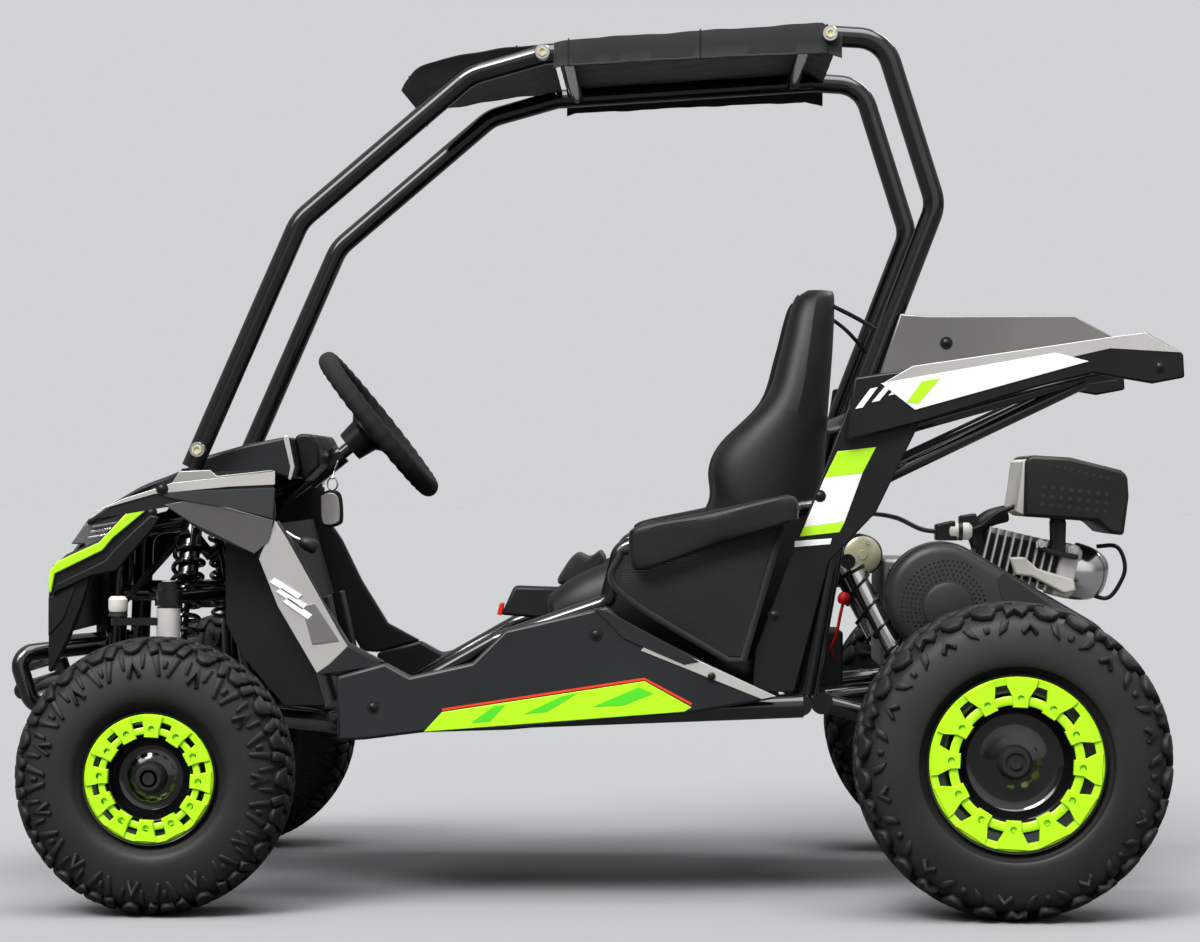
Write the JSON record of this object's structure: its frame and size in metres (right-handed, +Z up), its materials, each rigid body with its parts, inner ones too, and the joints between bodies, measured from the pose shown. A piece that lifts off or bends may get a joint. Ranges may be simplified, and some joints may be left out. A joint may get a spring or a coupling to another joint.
{
  "type": "off-road kart",
  "caption": "Off-road kart with a tubular roll cage, canvas roof, bucket seat, plastic body panels, rear engine and knobby tyres on ring-locked rims.",
  "frame": {"origin": "on the ground under the middle of the kart, midway between the axles", "axes": "+Z up, -X forward, -Y to the kart's left"},
  "size_m": [1.5793, 1.025, 1.1723],
  "materials": {
    "tyre": "matt black tread rubber",
    "rim": "lime ring on a gloss black dish",
    "frame_black": "gloss black powder coat",
    "panel_grey": "metallic grey plastic",
    "panel_black": "black plastic",
    "lime": "lime plastic",
    "lamp": "clear lamp lens",
    "canvas": "black padded cloth",
    "mesh": "black mesh",
    "vinyl": "black matt vinyl",
    "grip": "black foam grip",
    "engine_metal": "cast and painted engine parts",
    "steel": "zinc and chrome plated steel"
  },
  "bodies": {
    "chassis": {"arm_pads": "vinyl", "battery": "panel_black", "belt_cover": "panel_black", "canopy": "canvas", "column_mount": "frame_black", "cylinder": "engine_metal", "dash_cowl": "panel_grey", "engine_block": "engine_metal", "engine_cradle": "frame_black", "floor_frame": "frame_black", "floor_pan": "panel_black", "front_bumper": "frame_black", "harness": "canvas", "headlights": "lamp", "hood": "panel_grey", "left_fender": "panel_grey", "left_front_arms": "frame_black", "left_front_pillar": "frame_black", "left_leg_panel": "panel_grey", "left_skirt": "panel_grey", "muffler": "panel_black", "nose_frame": "frame_black", "nose_panel": "panel_grey", "nose_sides": "lime", "pedals": "frame_black", "pillar_plates": "panel_black", "rear_cage": "frame_black", "rear_shocks": "steel", "right_fender": "panel_grey", "right_front_arms": "frame_black", "right_front_pillar": "frame_black", "right_leg_panel": "panel_grey", "right_skirt": "panel_grey", "roof_bars": "frame_black", "seat": "vinyl", "seat_mount": "frame_black", "side_guards": "frame_black", "side_meshes": "mesh", "starter_motor": "engine_metal", "swing_arm": "frame_black", "tail_lowers": "panel_grey", "tail_struts": "frame_black", "tail_uppers": "panel_grey", "visor": "canvas", "wheel_liners": "panel_black"},
    "steering": {"steering_wheel": "grip", "steering_shaft": "frame_black"},
    "rear_axle": {"rear_axle": "steel", "left_rear_tyre": "tyre", "left_rear_rim": "rim", "right_rear_tyre": "tyre", "right_rear_rim": "rim"},
    "left_knuckle": {"left_knuckle": "steel"},
    "left_tie_rod": {"left_tie_rod": "steel"},
    "left_front_wheel": {"left_front_tyre": "tyre", "left_front_rim": "rim"},
    "right_knuckle": {"right_knuckle": "steel"},
    "right_tie_rod": {"right_tie_rod": "steel"},
    "right_front_wheel": {"right_front_tyre": "tyre", "right_front_rim": "rim"}
  },
  "joints": [
    {"name": "steering_turn", "type": "hinge", "parent": "chassis", "child": "steering", "pos_m": [-0.306, 0, 0.634], "axis": [0.7804, 0, 0.6252], "range_deg": [-40, 40]},
    {"name": "rear_axle_turn", "type": "hinge", "parent": "chassis", "child": "rear_axle", "pos_m": [0.55, 0, 0.203], "axis": [0, 1, 0], "continuous": true},
    {"name": "left_knuckle_turn", "type": "hinge", "parent": "chassis", "child": "left_knuckle", "pos_m": [-0.55, -0.33, 0.25], "axis": [0, 0, 1], "range_deg": [-25.5, 25.5]},
    {"name": "left_tie_rod_turn", "type": "hinge", "parent": "left_knuckle", "child": "left_tie_rod", "pos_m": [-0.617, -0.33, 0.388], "axis": [0, 0, 1], "range_deg": [-25.5, 25.5]},
    {"name": "left_front_wheel_turn", "type": "hinge", "parent": "left_knuckle", "child": "left_front_wheel", "pos_m": [-0.55, -0.435, 0.178], "axis": [0, 1, 0], "continuous": true},
    {"name": "right_knuckle_turn", "type": "hinge", "parent": "chassis", "child": "right_knuckle", "pos_m": [-0.55, 0.33, 0.25], "axis": [0, 0, 1], "range_deg": [-25.5, 25.5]},
    {"name": "right_tie_rod_turn", "type": "hinge", "parent": "right_knuckle", "child": "right_tie_rod", "pos_m": [-0.617, 0.33, 0.388], "axis": [0, 0, 1], "range_deg": [-25.5, 25.5]},
    {"name": "right_front_wheel_turn", "type": "hinge", "parent": "right_knuckle", "child": "right_front_wheel", "pos_m": [-0.55, 0.435, 0.178], "axis": [0, 1, 0], "continuous": true}
  ],
  "couplings": [
    {"joint": "left_knuckle_turn", "follows": "steering_turn", "ratio": 0.625},
    {"joint": "left_tie_rod_turn", "follows": "steering_turn", "ratio": -0.625},
    {"joint": "right_knuckle_turn", "follows": "steering_turn", "ratio": 0.625},
    {"joint": "right_tie_rod_turn", "follows": "steering_turn", "ratio": -0.625}
  ]
}
